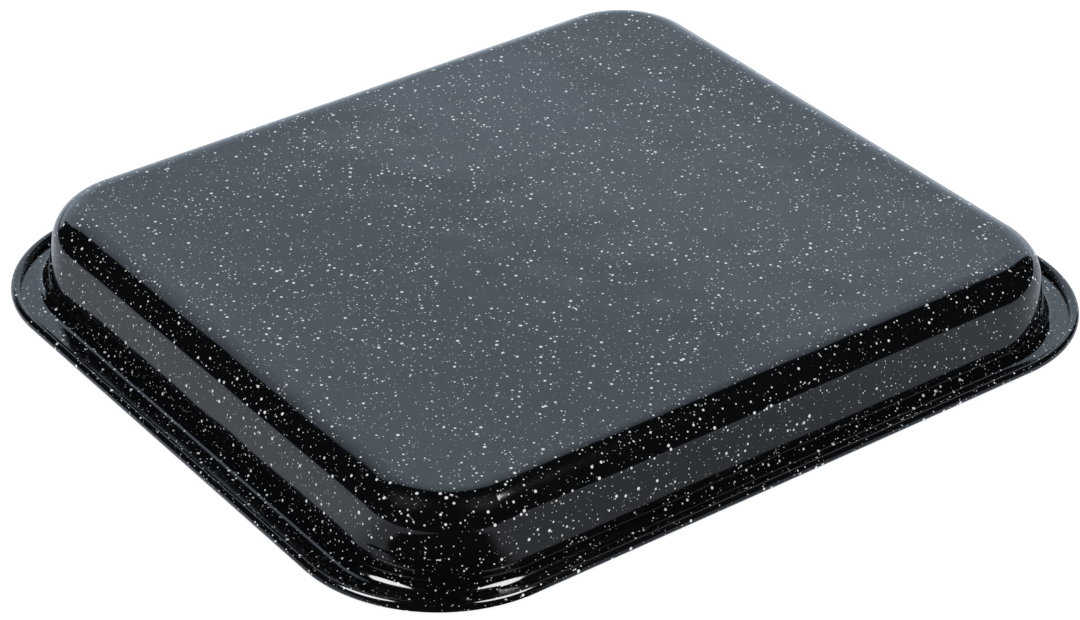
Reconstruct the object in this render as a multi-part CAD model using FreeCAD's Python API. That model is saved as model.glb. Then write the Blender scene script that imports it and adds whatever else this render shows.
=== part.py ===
import FreeCAD, Part
import math
import os

os.makedirs("parts", exist_ok=True)

# Enamelled baking tray: one drawn steel sheet with its edge curled over.
# It is modelled upside down, standing on its rim with the underside of the base up.
# Millimetres. X runs along the long side, Y along the short side and Z up.
# The origin is the middle of the rim, on the surface that the tray stands on.

# Driving dimensions, angles in degrees
rim_length = 400.0  # over the bead, along X
rim_width = 352.0  # over the bead, along Y
rim_corner_radius = 66.5  # outer edge of the bead, in plan
tray_height = 37.5  # from the rim's face to the underside of the base
sheet = 1.0  # steel and its coats of enamel
end_flange = 17.0  # from the rim's edge to the foot of the wall, at the short ends
side_flange = 12.2  # the same, along the long sides
end_draft = 15.5  # lean of the short end walls
side_draft = 12.0  # lean of the long side walls
foot_corner_radius = 52.5  # plan corner of the wall at the flange
base_corner_radius = 35.5  # plan corner of the wall at the base, before the rounding
base_rounding = 16.5  # outer radius between the wall and the base
foot_rounding = 6.0  # outer radius between the wall and the flange
bead_radius = 2.2  # outer radius of the curled edge
curl_gap = 0.35  # left open between the curled edge and the flange
overcut = 2.0  # how far the cavity's cutter passes the rim's face

UP = FreeCAD.Vector(0, 0, 1)
TOLERANCE = 0.001


def corner_centres(length, width, radius):
    """Centre of each plan corner and the direction in which its arc starts."""
    x = length / 2 - radius
    y = width / 2 - radius
    return [(x, -y, -90.0), (x, y, 0.0), (-x, y, 90.0), (-x, -y, 180.0)]


def on_circle(x, y, z, radius, degrees):
    """Point of a level circle round (x, y, z)."""
    angle = math.radians(degrees)
    return FreeCAD.Vector(x + radius * math.cos(angle), y + radius * math.sin(angle), z)


def rounded_outline(length, width, radius, z):
    """Edges of a rectangle with round corners, centred on the Z axis: arcs and straights in turn."""
    edges = []
    last = None
    first = None
    for x, y, start in corner_centres(length, width, radius):
        begin = on_circle(x, y, z, radius, start)
        middle = on_circle(x, y, z, radius, start + 45.0)
        end = on_circle(x, y, z, radius, start + 90.0)
        if last is None:
            first = begin
        else:
            edges.append(Part.LineSegment(last, begin).toShape())
        edges.append(Part.Arc(begin, middle, end).toShape())
        last = end
    edges.append(Part.LineSegment(last, first).toShape())
    return edges


def wall_outline(z, inset):
    """Plan outline of the wall at height z; an inset of the sheet gives its inner face."""
    rise = z - sheet
    end_run = end_flange + rise * math.tan(math.radians(end_draft))
    side_run = side_flange + rise * math.tan(math.radians(side_draft))
    end_run += inset / math.cos(math.radians(end_draft))
    side_run += inset / math.cos(math.radians(side_draft))
    tightening = (foot_corner_radius - base_corner_radius) / (tray_height - sheet)
    radius = foot_corner_radius - tightening * rise - inset
    return rounded_outline(rim_length - 2 * end_run, rim_width - 2 * side_run, radius, z)


def level_edges(shape, z):
    """Edges that lie wholly at height z."""
    found = []
    for edge in shape.Edges:
        box = edge.BoundBox
        if abs(box.ZMin - z) < TOLERANCE and abs(box.ZMax - z) < TOLERANCE:
            found.append(edge)
    return found


def corner_wall(low, high):
    """Exact ruled face between two quarter arcs of different radius, one above the other."""
    patch = Part.BezierSurface()
    patch.increase(2, 1)
    for column, arc in ((1, low), (2, high)):
        begin = arc.Vertexes[0].Point
        end = arc.Vertexes[1].Point
        patch.setPole(1, column, begin)
        patch.setPole(2, column, begin + end - arc.Curve.Center, math.cos(math.pi / 4))
        patch.setPole(3, column, end)
    return patch.toShape()


def straight_wall(low, high):
    """Flat face between two straight edges, one above the other."""
    a, b = [vertex.Point for vertex in low.Vertexes]
    d, c = [vertex.Point for vertex in high.Vertexes]
    return Part.Face(Part.makePolygon([a, b, c, d, a]))


def wall_block(bottom, top, inset, rounding):
    """Drafted block from one height to another, with its upper edge rounded."""
    lower = wall_outline(bottom, inset)
    upper = wall_outline(top, inset)
    faces = []
    for low, high in zip(lower, upper):
        curved = isinstance(low.Curve, Part.Circle)
        faces.append(corner_wall(low, high) if curved else straight_wall(low, high))
    faces.append(Part.Face(Part.Wire(upper)))
    faces.append(Part.Face(Part.Wire(lower)))
    shell = Part.Shell(faces)
    shell.sewShape()
    block = Part.Solid(shell)
    return block.makeFillet(rounding, level_edges(block, top))


def flange_plate():
    """Flat sheet of the flange, out to where the curl begins."""
    length = rim_length - 2 * bead_radius
    width = rim_width - 2 * bead_radius
    radius = rim_corner_radius - bead_radius
    outline = Part.Wire(rounded_outline(length, width, radius, 0.0))
    return Part.Face(outline).extrude(UP * sheet)


def foot_edges(shape, z):
    """Edges at height z where the wall meets the flange, inside the flange's outline."""
    x_limit = rim_length / 2 - bead_radius - TOLERANCE
    y_limit = rim_width / 2 - bead_radius - TOLERANCE
    found = []
    for edge in level_edges(shape, z):
        if all(abs(v.X) < x_limit and abs(v.Y) < y_limit for v in edge.Vertexes):
            found.append(edge)
    return found


def drawn_pan():
    """Base, wall and flange as one sheet, rounded on both faces at the foot and the base."""
    solid = flange_plate().fuse(wall_block(0.0, tray_height, 0.0, base_rounding))
    solid = solid.removeSplitter()
    solid = solid.makeFillet(foot_rounding, foot_edges(solid, sheet))
    cavity = wall_block(-overcut, tray_height - sheet, sheet, base_rounding - sheet)
    solid = solid.cut(cavity)
    return solid.makeFillet(foot_rounding + sheet, foot_edges(solid, 0.0))


def curl_section():
    """Section of the curl in the XZ plane, with X outwards from the curl's centre line."""
    inner_radius = bead_radius - sheet
    past_level = math.degrees(math.asin(1.0 - (sheet + curl_gap) / bead_radius))
    last_angle = 180.0 + past_level

    def point(radius, degrees):
        angle = math.radians(degrees)
        return FreeCAD.Vector(radius * math.cos(angle), 0, bead_radius + radius * math.sin(angle))

    def arc(radius, first, last):
        middle = (first + last) / 2
        return Part.Arc(point(radius, first), point(radius, middle), point(radius, last)).toShape()

    outside = arc(bead_radius, -90.0, last_angle)
    inside = arc(inner_radius, last_angle, -90.0)
    lip = Part.LineSegment(point(bead_radius, last_angle), point(inner_radius, last_angle)).toShape()
    root = Part.LineSegment(point(inner_radius, -90.0), point(bead_radius, -90.0)).toShape()
    return Part.Face(Part.Wire([outside, lip, inside, root]))


def curled_edge():
    """The curl round the whole rim: a revolved piece at each corner and a straight run after it."""
    pieces = []
    radius = rim_corner_radius - bead_radius
    centres = corner_centres(rim_length, rim_width, rim_corner_radius)
    runs = [rim_width - 2 * rim_corner_radius, rim_length - 2 * rim_corner_radius] * 2
    for (x, y, start), run in zip(centres, runs):
        section = curl_section()
        section.rotate(FreeCAD.Vector(0, 0, 0), UP, start)
        section.translate(on_circle(x, y, 0.0, radius, start))
        pieces.append(section.revolve(FreeCAD.Vector(x, y, 0), UP, 90.0))
        section.rotate(FreeCAD.Vector(x, y, 0), UP, 90.0)
        along = on_circle(0.0, 0.0, 0.0, run, start + 180.0)
        pieces.append(section.extrude(along))
    return pieces


def tray():
    """The whole tray as one solid."""
    return drawn_pan().fuse(curled_edge()).removeSplitter()


shape = tray()
solid = shape.Solids[0]
solid.exportStep("parts/tray.step")
print("tray: %d solid, valid %s, %.0f mm3" % (len(shape.Solids), solid.isValid(), solid.Volume))
box = solid.optimalBoundingBox(True, True)
print("size: %.2f x %.2f x %.2f mm, lowest %.2f" % (box.XLength, box.YLength, box.ZLength, box.ZMin))
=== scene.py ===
import math

import bpy
import numpy as np
from mathutils import Matrix, Vector


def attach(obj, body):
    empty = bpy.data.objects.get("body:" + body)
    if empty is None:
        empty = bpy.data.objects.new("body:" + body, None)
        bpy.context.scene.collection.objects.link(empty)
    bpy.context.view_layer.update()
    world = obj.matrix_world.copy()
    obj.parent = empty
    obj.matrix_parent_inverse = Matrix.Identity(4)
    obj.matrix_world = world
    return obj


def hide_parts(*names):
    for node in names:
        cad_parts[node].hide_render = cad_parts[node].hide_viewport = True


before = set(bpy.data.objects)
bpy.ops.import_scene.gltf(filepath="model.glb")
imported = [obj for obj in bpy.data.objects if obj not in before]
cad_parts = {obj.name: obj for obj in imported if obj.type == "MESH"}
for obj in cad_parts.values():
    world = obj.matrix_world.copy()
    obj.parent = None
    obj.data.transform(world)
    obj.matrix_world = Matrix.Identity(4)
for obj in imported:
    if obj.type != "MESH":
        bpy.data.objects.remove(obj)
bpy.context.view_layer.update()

mm = 0.001


# The tray, in millimetres and degrees: sizes of the pressing, and how finely it is divided
tray = {
    "length": 400.0,
    "width": 352.0,
    "height": 37.5,
    "sheet": 1.0,
    "rimCorner": 66.5,
    "bead": 2.2,
    "curlGap": 0.35,
    "endFlange": 17.0,
    "sideFlange": 12.2,
    "endDraft": 15.5,
    "sideDraft": 12.0,
    "footCorner": 52.5,
    "baseCorner": 35.5,
    "baseRounding": 16.5,
    "footRounding": 6.0,
    "cornerSteps": 44,
    "longSteps": 30,
    "shortSteps": 26,
    "baseSteps": 12,
    "baseRoundingSteps": 16,
    "wallSteps": 6,
    "footRoundingSteps": 8,
    "flangeSteps": 4,
    "curlInsideSteps": 14,
    "curlOutsideSteps": 32,
    "baseEdgeShare": 0.004,  # where the extra rings lie that keep the flat parts' shading flat
    "flatEdgeShare": 0.025,
}

# Each plan corner: which side it is on, and the angle where its arc starts
corners = [(1, -1, -90.0), (1, 1, 0.0), (-1, 1, 90.0), (-1, -1, 180.0)]


def closeRing(arcs):
    # joins the four corner arcs by straight runs into one ring of points
    runs = [tray["shortSteps"], tray["longSteps"]] * 2
    rows = []
    for k, arc in enumerate(arcs):
        rows.append(arc)
        start, end = arc[-1], arcs[(k + 1) % 4][0]
        t = np.arange(1, runs[k])[:, None] / runs[k]
        rows.append(start + (end - start) * t)
    return np.vstack(rows)


def cornerAngles(start):
    return np.radians(start + np.linspace(0.0, 90.0, tray["cornerSteps"] + 1))


def levelRing(halfX, halfY, radius, z):
    # rounded rectangle at one height
    arcs = []
    for sx, sy, start in corners:
        a = cornerAngles(start)
        x = sx * (halfX - radius) + radius * np.cos(a)
        y = sy * (halfY - radius) + radius * np.sin(a)
        arcs.append(np.stack([x, y, np.full_like(a, z)], axis=1))
    return closeRing(arcs)


def wallSizes(z, inset):
    # half length, half width and corner radius of the wall at a height
    rise = z - tray["sheet"]
    end, side = math.radians(tray["endDraft"]), math.radians(tray["sideDraft"])
    tighter = (tray["footCorner"] - tray["baseCorner"]) / (tray["height"] - tray["sheet"])
    halfX = tray["length"] / 2 - tray["endFlange"] - rise * math.tan(end) - inset / math.cos(end)
    halfY = tray["width"] / 2 - tray["sideFlange"] - rise * math.tan(side) - inset / math.cos(side)
    return np.array([halfX, halfY, tray["footCorner"] - tighter * rise - inset])


def rolledRings(ballHeight, inset, radius, outward, shares):
    # rings of the rounding that a ball leaves as it rolls round the leaning wall; outward is 1
    # for a ball outside the wall and -1 inside, and a share is 0 on the flat and 1 on the wall
    sizes = wallSizes(ballHeight, inset)
    slope = wallSizes(1.0, inset) - wallSizes(0.0, inset)
    made = []
    for share in shares:
        arcs = []
        for sx, sy, start in corners:
            a = cornerAngles(start)
            cos, sin = np.cos(a), np.sin(a)
            cx, cy = sx * (sizes[0] - sizes[2]), sy * (sizes[1] - sizes[2])
            gx, gy = sx * (slope[0] - slope[2]), sy * (slope[1] - slope[2])
            lean = np.arctan(-(gx * cos + gy * sin + slope[2]))
            # the ball's centre, out from the tray's middle and round it
            reach = cx * cos + cy * sin + sizes[2] + outward * radius / np.cos(lean)
            turn = -cx * sin + cy * cos + outward * radius * np.sin(lean) * (gx * sin - gy * cos)
            tilt = share * (math.pi / 2 - lean)
            side = -outward * radius * np.sin(tilt)
            x = reach * cos - turn * sin + side * cos
            y = reach * sin + turn * cos + side * sin
            z = ballHeight - outward * radius * np.cos(tilt)
            arcs.append(np.stack([x, y, z], axis=1))
        made.append(closeRing(arcs))
    return made


def between(first, last, steps):
    # rings in between two rings, the outer ones close to the ends
    edge = tray["flatEdgeShare"]
    shares = [edge] + [k / steps for k in range(1, steps)] + [1 - edge]
    return [first + (last - first) * share for share in shares]


def shrunkRings(ring):
    # rings that carry the flat base from its edge in to a small patch at its middle
    centre = np.array([0.0, 0.0, ring[0][2]])
    steps = tray["baseSteps"]
    shares = [1 - tray["baseEdgeShare"]] + [1 - k / steps for k in range(1, steps)]
    return [centre + (ring - centre) * share for share in shares]


def skinRings(inset, baseHeight, footHeight, baseRadius, footRadius):
    # one face of the sheet from the base's edge, down the wall and out to the flange
    baseShares = np.linspace(0.0, 1.0, tray["baseRoundingSteps"] + 1)
    footShares = np.linspace(1.0, 0.0, tray["footRoundingSteps"] + 1)
    base = rolledRings(baseHeight - baseRadius, inset, baseRadius, -1, baseShares)
    foot = rolledRings(footHeight + footRadius, inset, footRadius, 1, footShares)
    return base + between(base[-1], foot[0], tray["wallSteps"]) + foot


def curlRings():
    # the rolled edge: up its inside to the lip, then back round its outside
    bead, sheet = tray["bead"], tray["sheet"]
    first = -90.0
    last = 180.0 + math.degrees(math.asin(1.0 - (sheet + tray["curlGap"]) / bead))
    inside = [(bead - sheet, d) for d in np.linspace(first, last, tray["curlInsideSteps"] + 1)]
    outside = [(bead, d) for d in np.linspace(last, first, tray["curlOutsideSteps"] + 1)]
    halfX, halfY = tray["length"] / 2 - bead, tray["width"] / 2 - bead
    radius = tray["rimCorner"] - bead
    made = []
    for r, degrees in inside + outside:
        out = r * math.cos(math.radians(degrees))
        z = bead + r * math.sin(math.radians(degrees))
        made.append(levelRing(halfX + out, halfY + out, radius + out, z))
    return made


def trayRings():
    # the whole skin in one run: base, wall and flange, the curl, and back along the inside
    height, sheet = tray["height"], tray["sheet"]
    outside = skinRings(0.0, height, sheet, tray["baseRounding"], tray["footRounding"])
    inside = skinRings(sheet, height - sheet, 0.0, tray["baseRounding"] - sheet,
                       tray["footRounding"] + sheet)
    curl = curlRings()
    flangeTop = between(outside[-1], curl[0], tray["flangeSteps"])
    flangeUnder = between(curl[-1], inside[-1], tray["flangeSteps"])
    return (shrunkRings(outside[0])[::-1] + outside + flangeTop + curl + flangeUnder
            + inside[::-1] + shrunkRings(inside[0]))


def meshFromRings(name, rings):
    points = np.vstack(rings) * mm
    count, rows = len(rings[0]), len(rings)
    faces = [list(range(count))]
    for row in range(rows - 1):
        for col in range(count):
            after = (col + 1) % count
            a, b = row * count, (row + 1) * count
            faces.append([a + col, b + col, b + after, a + after])
    faces.append([(rows - 1) * count + k for k in range(count)][::-1])
    mesh = bpy.data.meshes.new(name)
    mesh.from_pydata(points.tolist(), [], faces)
    mesh.update()
    mesh.shade_smooth()
    return mesh


# Black enamel with white speckles. Scales are in cells or waves a metre, sizes in metres,
# and kept is the share of the cells that hold a speckle.
enamel = {
    "black": (0.0028, 0.0033, 0.0040),
    "white": (0.80, 0.83, 0.84),
    "roughness": 0.07,
    "ior": 1.5,
    "waveScale": 26.0,
    "waveHeight": 0.00045,
    "peelScale": 320.0,
    "peelHeight": 0.000006,
    "clusterScale": 70.0,
    "clusterRange": (0.36, 0.66),
    "clusterShare": (0.9, 1.1),
    "softEdge": 0.00010,
    "sizeBias": 2.0,
    "whiteBias": 1.6,
    "speckles": [
        {"scale": 330.0, "radius": (0.00021, 0.00080), "kept": 0.86, "strength": (0.88, 1.0)},
        {"scale": 480.0, "radius": (0.00020, 0.00047), "kept": 0.82, "strength": (0.84, 1.0)},
        {"scale": 720.0, "radius": (0.00018, 0.00030), "kept": 0.36, "strength": (0.70, 1.0)},
    ],
}


def node(tree, kind, **values):
    # a key is a setting of the node, or one of its inputs with _ for each space
    made = tree.nodes.new(kind)
    for key, value in values.items():
        if hasattr(made, key):
            setattr(made, key, value)
        else:
            made.inputs[key.replace("_", " ")].default_value = value
    return made


def feed(tree, socket, given):
    # gives a socket a number or a link
    if isinstance(given, (int, float)):
        socket.default_value = given
    else:
        tree.links.new(given, socket)


def mathNode(tree, operation, first, second=None, clamp=False):
    made = node(tree, "ShaderNodeMath", operation=operation, use_clamp=clamp)
    feed(tree, made.inputs[0], first)
    if second is not None:
        feed(tree, made.inputs[1], second)
    return made.outputs[0]


def speckLayer(tree, where, cluster, layer):
    # round specks: slices through small balls, each with its own size and whiteness
    cells = node(tree, "ShaderNodeTexVoronoi", feature="F1", Scale=layer["scale"], Randomness=1.0)
    tree.links.new(where, cells.inputs["Vector"])
    parts = node(tree, "ShaderNodeSeparateColor")
    tree.links.new(cells.outputs["Color"], parts.inputs["Color"])
    low, high = layer["radius"]
    size = mathNode(tree, "POWER", parts.outputs["Green"], enamel["sizeBias"])
    size = mathNode(tree, "MULTIPLY", size, (high - low) * layer["scale"])
    size = mathNode(tree, "ADD", size, low * layer["scale"])
    gap = mathNode(tree, "SUBTRACT", size, cells.outputs["Distance"])
    sharpness = 1.0 / (enamel["softEdge"] * layer["scale"])
    soft = mathNode(tree, "MULTIPLY", gap, sharpness, clamp=True)
    chance = mathNode(tree, "MULTIPLY", cluster, layer["kept"])
    kept = mathNode(tree, "LESS_THAN", parts.outputs["Red"], chance)
    faint, full = layer["strength"]
    white = mathNode(tree, "POWER", parts.outputs["Blue"], enamel["whiteBias"])
    white = mathNode(tree, "MULTIPLY", white, full - faint)
    white = mathNode(tree, "ADD", white, faint)
    return mathNode(tree, "MULTIPLY", mathNode(tree, "MULTIPLY", soft, kept), white)


def enamelMaterial():
    material = bpy.data.materials.new("speckledBlackEnamel")
    material.use_nodes = True
    tree = material.node_tree
    shader = tree.nodes["Principled BSDF"]
    shader.inputs["Roughness"].default_value = enamel["roughness"]
    shader.inputs["IOR"].default_value = enamel["ior"]
    where = node(tree, "ShaderNodeTexCoord").outputs["Object"]

    # specks gather in loose clusters
    patches = node(tree, "ShaderNodeTexNoise", Scale=enamel["clusterScale"], Detail=2.0)
    tree.links.new(where, patches.inputs["Vector"])
    (low, high), (fewer, more) = enamel["clusterRange"], enamel["clusterShare"]
    cluster = node(tree, "ShaderNodeMapRange", clamp=True, From_Min=low, From_Max=high,
                   To_Min=fewer, To_Max=more)
    tree.links.new(patches.outputs[0], cluster.inputs["Value"])
    specks = [speckLayer(tree, where, cluster.outputs[0], layer) for layer in enamel["speckles"]]
    mask = specks[0]
    for layer in specks[1:]:
        mask = mathNode(tree, "MAXIMUM", mask, layer)
    tone = node(tree, "ShaderNodeMix", data_type="RGBA")
    tone.inputs["A"].default_value = (*enamel["black"], 1.0)
    tone.inputs["B"].default_value = (*enamel["white"], 1.0)
    tree.links.new(mask, tone.inputs["Factor"])
    tree.links.new(tone.outputs["Result"], shader.inputs["Base Color"])

    # long waves of pressed sheet, and the faint orange peel of fired enamel
    wave = node(tree, "ShaderNodeTexNoise", Scale=enamel["waveScale"], Detail=1.0, Roughness=0.4)
    tree.links.new(where, wave.inputs["Vector"])
    wavy = node(tree, "ShaderNodeBump", Strength=1.0, Distance=enamel["waveHeight"])
    tree.links.new(wave.outputs[0], wavy.inputs["Height"])
    peel = node(tree, "ShaderNodeTexNoise", Scale=enamel["peelScale"], Detail=1.0)
    tree.links.new(where, peel.inputs["Vector"])
    peeled = node(tree, "ShaderNodeBump", Strength=1.0, Distance=enamel["peelHeight"])
    tree.links.new(peel.outputs[0], peeled.inputs["Height"])
    tree.links.new(wavy.outputs[0], peeled.inputs["Normal"])
    tree.links.new(peeled.outputs[0], shader.inputs["Normal"])
    return material


trayObject = bpy.data.objects.new("enamelledTray", meshFromRings("enamelledTray", trayRings()))
bpy.context.collection.objects.link(trayObject)
trayObject.data.materials.append(enamelMaterial())
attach(trayObject, "root")
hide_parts("tray")
print("tray made:", len(trayObject.data.polygons), "faces")


# Floor: white to the eye. Reflections see a painted glow on it instead, with painted light and
# shade: dimmer in front of the tray, where it brightens to the right, and brighter behind. It ends
# far out to the left, and a painted dark patch lies on it before the front corner. Directions are
# in plan, spans and edges are distances along them in metres, and each edge of the dark patch is a
# direction, its distance and how soft it is.
floor = {
    "size": 8.0,
    "colour": (0.34, 0.34, 0.34, 1.0),
    "glow": 0.86,
    "mirrored": (0.90, 1.0, 1.13, 1.0),
    "side": 0.93,
    "front": (0.54, 0.78),
    "frontSpan": (-0.05, 0.25),
    "frontFade": (-0.115, -0.055),
    "left": (-0.80, 0.60),
    "leftEnd": (0.42, 0.60),
    "behind": (0.60, 0.80),
    "behindSpan": (0.30, 0.60),
    "behindGain": 1.6,
    "paintedDarkPatchEdges": [((-0.455, -0.890), 0.2164, 0.010), ((0.75, -0.66), -0.0920, 0.012),
                  ((-0.980, 0.196), 0.0843, 0.026)],
}


def along(tree, where, direction):
    # how far a place or a direction reaches along another direction
    made = node(tree, "ShaderNodeVectorMath", operation="DOT_PRODUCT")
    made.inputs[1].default_value = direction
    tree.links.new(where, made.inputs[0])
    return made.outputs["Value"]


def smoothStep(tree, value, span, low, high):
    made = node(tree, "ShaderNodeMapRange", interpolation_type="SMOOTHSTEP", From_Min=span[0],
                From_Max=span[1], To_Max=high)
    feed(tree, made.inputs["To Min"], low)
    feed(tree, made.inputs["Value"], value)
    return made.outputs[0]


def product(tree, factors):
    made = factors[0]
    for factor in factors[1:]:
        made = mathNode(tree, "MULTIPLY", made, factor)
    return made


def mirroredFloorLevel(tree):
    # painted light and shade of the floor's glow, which only reflections see
    where = node(tree, "ShaderNodeNewGeometry").outputs["Position"]

    def step(direction, span, low, high):
        return smoothStep(tree, along(tree, where, (*direction, 0.0)), span, low, high)

    front = step((1.0, 0.0), floor["frontSpan"], *floor["front"])
    level = step((0.0, 1.0), floor["frontFade"], front, floor["side"])
    left = step(floor["left"], floor["leftEnd"], 1.0, 0.0)
    behind = step(floor["behind"], floor["behindSpan"], 1.0, floor["behindGain"])
    # edges of the painted dark patch before the front corner
    edges = [step(direction, (distance - soft / 2, distance + soft / 2), 0.0, 1.0)
             for direction, distance, soft in floor["paintedDarkPatchEdges"]]
    clear = mathNode(tree, "SUBTRACT", 1.0, product(tree, edges))
    return product(tree, [level, left, clear, behind])


def floorMaterial():
    material = bpy.data.materials.new("whiteTable")
    material.use_nodes = True
    tree = material.node_tree
    tree.nodes.remove(tree.nodes["Principled BSDF"])
    rays = node(tree, "ShaderNodeLightPath")
    mirrored = node(tree, "ShaderNodeEmission", Color=floor["mirrored"])
    tree.links.new(mirroredFloorLevel(tree), mirrored.inputs["Strength"])
    seen = node(tree, "ShaderNodeEmission", Strength=floor["glow"])
    matt = node(tree, "ShaderNodeBsdfDiffuse", Color=floor["colour"])
    both = node(tree, "ShaderNodeAddShader")
    tree.links.new(seen.outputs[0], both.inputs[0])
    tree.links.new(matt.outputs[0], both.inputs[1])
    mix = node(tree, "ShaderNodeMixShader")
    tree.links.new(rays.outputs["Is Glossy Ray"], mix.inputs["Fac"])
    tree.links.new(both.outputs[0], mix.inputs[1])
    tree.links.new(mirrored.outputs[0], mix.inputs[2])
    tree.links.new(mix.outputs[0], tree.nodes["Material Output"].inputs["Surface"])
    return material


half = floor["size"] / 2
floorMesh = bpy.data.meshes.new("floor")
floorMesh.from_pydata([(-half, -half, 0), (half, -half, 0), (half, half, 0), (-half, half, 0)],
                      [], [(0, 1, 2, 3)])
floorObject = bpy.data.objects.new("floor", floorMesh)
bpy.context.collection.objects.link(floorObject)
floorObject.data.materials.append(floorMaterial())
print("floor made")


# Surroundings: a plain white room to the eye and for its soft light. Reflections see a pale
# backdrop behind the tray and dark elsewhere. Its top edge is straight, square to topEdge, and
# its sides stand at two azimuths, in degrees from +Y towards +X. Shades are its brightness at
# places across it, since its lamp lights it unevenly.
surroundings = {
    "seen": 1.0,
    "diffuse": 0.92,
    "backdrop": (0.83, 1.0, 1.18, 1.0),
    "level": 1.64,
    "topEdge": (0.5456, 0.6632, -0.5117),
    "topSoft": 0.05,
    "fade": 0.26,
    "fadeFrom": 0.62,
    "sides": (-13.0, 78.0),
    "sideSoft": 3.0,
    "across": (0.766, 0.643, 0.0),
    "shades": [(0.770, 0.74), (0.792, 0.78), (0.811, 0.67), (0.826, 0.69), (0.838, 0.82),
               (0.850, 0.84), (0.863, 0.66), (0.880, 0.70)],
}


def backdropShade(tree, where):
    shades = surroundings["shades"]
    low, high = shades[0][0], shades[-1][0]
    spread = node(tree, "ShaderNodeMapRange", clamp=True, From_Min=low, From_Max=high)
    tree.links.new(along(tree, where, surroundings["across"]), spread.inputs["Value"])
    ramp = node(tree, "ShaderNodeValToRGB")
    ramp.color_ramp.interpolation = "EASE"
    while len(ramp.color_ramp.elements) < len(shades):
        ramp.color_ramp.elements.new(0.5)
    for element, (place, shade) in zip(ramp.color_ramp.elements, shades):
        element.position = (place - low) / (high - low)
        element.color = (shade, shade, shade, 1.0)
    tree.links.new(spread.outputs[0], ramp.inputs["Fac"])
    return ramp.outputs["Color"]


def backdropLevel(tree):
    where = node(tree, "ShaderNodeTexCoord").outputs["Generated"]
    below = along(tree, where, surroundings["topEdge"])  # 0 on the top edge, more below it
    parts = node(tree, "ShaderNodeSeparateXYZ")
    tree.links.new(where, parts.inputs[0])
    azimuth = mathNode(tree, "ARCTAN2", parts.outputs["X"], parts.outputs["Y"])
    azimuth = mathNode(tree, "DEGREES", azimuth)
    soft, (left, right) = surroundings["sideSoft"], surroundings["sides"]
    inside = smoothStep(tree, below, (0.0, surroundings["topSoft"]), 0.0, 1.0)
    fading = smoothStep(tree, below, (0.0, surroundings["fade"]), surroundings["fadeFrom"], 1.0)
    fromLeft = smoothStep(tree, azimuth, (left, left + soft), 0.0, 1.0)
    fromRight = smoothStep(tree, azimuth, (right - soft, right), 1.0, 0.0)
    shade = backdropShade(tree, where)
    return product(tree, [inside, fading, fromLeft, fromRight, shade, surroundings["level"]])


def buildWorld():
    world = bpy.data.worlds.new("studio")
    bpy.context.scene.world = world
    world.use_nodes = True
    tree = world.node_tree
    tree.nodes.remove(tree.nodes["Background"])
    rays = node(tree, "ShaderNodeLightPath")
    mirrored = node(tree, "ShaderNodeBackground", Color=surroundings["backdrop"])
    tree.links.new(backdropLevel(tree), mirrored.inputs["Strength"])
    plain = node(tree, "ShaderNodeBackground", Color=(1.0, 1.0, 1.0, 1.0),
                 Strength=surroundings["diffuse"])
    seen = node(tree, "ShaderNodeBackground", Color=(1.0, 1.0, 1.0, 1.0),
                Strength=surroundings["seen"])
    first = node(tree, "ShaderNodeMixShader")
    tree.links.new(rays.outputs["Is Glossy Ray"], first.inputs["Fac"])
    tree.links.new(plain.outputs[0], first.inputs[1])
    tree.links.new(mirrored.outputs[0], first.inputs[2])
    last = node(tree, "ShaderNodeMixShader")
    tree.links.new(rays.outputs["Is Camera Ray"], last.inputs["Fac"])
    tree.links.new(first.outputs[0], last.inputs[1])
    tree.links.new(seen.outputs[0], last.inputs[2])
    tree.links.new(last.outputs[0], tree.nodes["World Output"].inputs["Surface"])


buildWorld()
print("surroundings made")


# Two oval softboxes overhead, one on each side of the camera. They show in the gloss of the
# rim only, so they give no soft light.
softboxes = [
    {"name": "softboxLeft", "place": (-0.873, 0.135, 1.303), "faces": (-0.175, -0.135, 0.003),
     "along": (0.105, -0.399, 0.140), "size": (0.65, 0.95), "power": 30.0},
    {"name": "softboxRight", "place": (0.237, -0.729, 1.338), "faces": (-0.141, -0.160, 0.003),
     "along": (0.435, 0.0, -0.128), "size": (0.68, 0.95), "power": 31.0},
]


def softbox(box):
    lamp = bpy.data.lights.new(box["name"], "AREA")
    lamp.shape = "ELLIPSE"
    lamp.size, lamp.size_y = box["size"]
    lamp.energy = box["power"]
    made = bpy.data.objects.new(box["name"], lamp)
    bpy.context.collection.objects.link(made)
    away = (Vector(box["place"]) - Vector(box["faces"])).normalized()
    width = Vector(box["along"])
    width = (width - away * width.dot(away)).normalized()
    turned = Matrix((width, away.cross(width), away)).transposed()
    made.matrix_world = Matrix.Translation(box["place"]) @ turned.to_4x4()
    made.visible_diffuse = False


for box in softboxes:
    softbox(box)
print("softboxes made")


# Black cards, in metres and degrees, that only reflections meet. The first hides the softboxes
# from the rounding of the base's front corner, and the second from the wall below it. The last
# keeps the backdrop's second reflection off the left flange.
ringCards = [
    {"name": "cornerCard", "middle": (-0.1374, -0.1205), "radii": (0.0285, 0.0465),
     "heights": (0.040, 0.040), "angles": (186.0, 278.0), "steps": 23},
    {"name": "footCard", "middle": (-0.1326, -0.1141), "radii": (0.0471, 0.0536),
     "heights": (0.0132, 0.0119), "angles": (190.0, 262.0), "steps": 23},
]
rimCard = {"name": "rimCard", "x": (-0.216, -0.177), "y": (-0.075, 0.260), "height": 0.060}


def blackPaper():
    material = bpy.data.materials.new("blackPaper")
    material.use_nodes = True
    shader = material.node_tree.nodes["Principled BSDF"]
    shader.inputs["Base Color"].default_value = (0.0, 0.0, 0.0, 1.0)
    shader.inputs["Specular IOR Level"].default_value = 0.0
    return material


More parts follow.
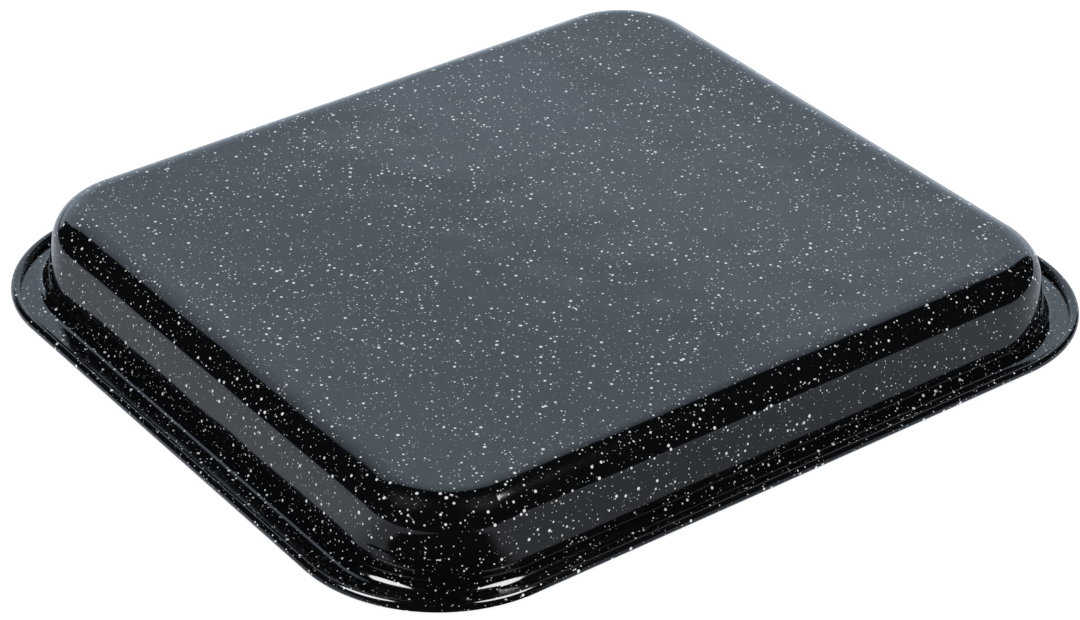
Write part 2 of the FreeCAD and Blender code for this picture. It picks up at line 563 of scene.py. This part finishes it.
def blackCard(name, points, faces):
    mesh = bpy.data.meshes.new(name)
    mesh.from_pydata(points, [], faces)
    mesh.materials.append(paper)
    made = bpy.data.objects.new(name, mesh)
    bpy.context.collection.objects.link(made)
    for kind in ("camera", "diffuse", "transmission", "shadow"):
        setattr(made, "visible_" + kind, False)


def ringCard(card):
    # part of a flat ring, or of a cone where its two heights differ
    (x, y), count = card["middle"], card["steps"] + 1
    points = []
    for radius, height in zip(card["radii"], card["heights"]):
        for angle in np.radians(np.linspace(*card["angles"], count)):
            points.append((x + radius * math.cos(angle), y + radius * math.sin(angle), height))
    faces = [(k, k + 1, k + 1 + count, k + count) for k in range(card["steps"])]
    blackCard(card["name"], points, faces)


paper = blackPaper()
for card in ringCards:
    ringCard(card)
(x0, x1), (y0, y1), z = rimCard["x"], rimCard["y"], rimCard["height"]
blackCard(rimCard["name"], [(x0, y0, z), (x1, y0, z), (x1, y1, z), (x0, y1, z)], [(0, 1, 2, 3)])
print("cards made")


# Camera: metres, degrees and a lens in millimetres. Heading turns from +Y towards +X.
camera = {
    "place": (-0.79280, -1.05670, 0.83880),
    "heading": 36.827,
    "down": 32.649,
    "roll": 0.453,
    "lens": 116.236,
    "sensor": 36.0,
}
heading, down, roll = (math.radians(camera[key]) for key in ("heading", "down", "roll"))
forward = Vector((math.sin(heading) * math.cos(down), math.cos(heading) * math.cos(down),
                  -math.sin(down)))
sideways = forward.cross(Vector((0, 0, 1))).normalized()
upwards = sideways.cross(forward)
right = sideways * math.cos(roll) + upwards * math.sin(roll)
above = upwards * math.cos(roll) - sideways * math.sin(roll)
lensData = bpy.data.cameras.new("camera")
lensData.lens = camera["lens"]
lensData.sensor_width = camera["sensor"]
cameraObject = bpy.data.objects.new("camera", lensData)
bpy.context.collection.objects.link(cameraObject)
cameraObject.matrix_world = (Matrix.Translation(camera["place"])
                             @ Matrix((right, above, -forward)).transposed().to_4x4())
bpy.context.scene.camera = cameraObject
bpy.context.scene.view_settings.view_transform = "Standard"
print("camera set")
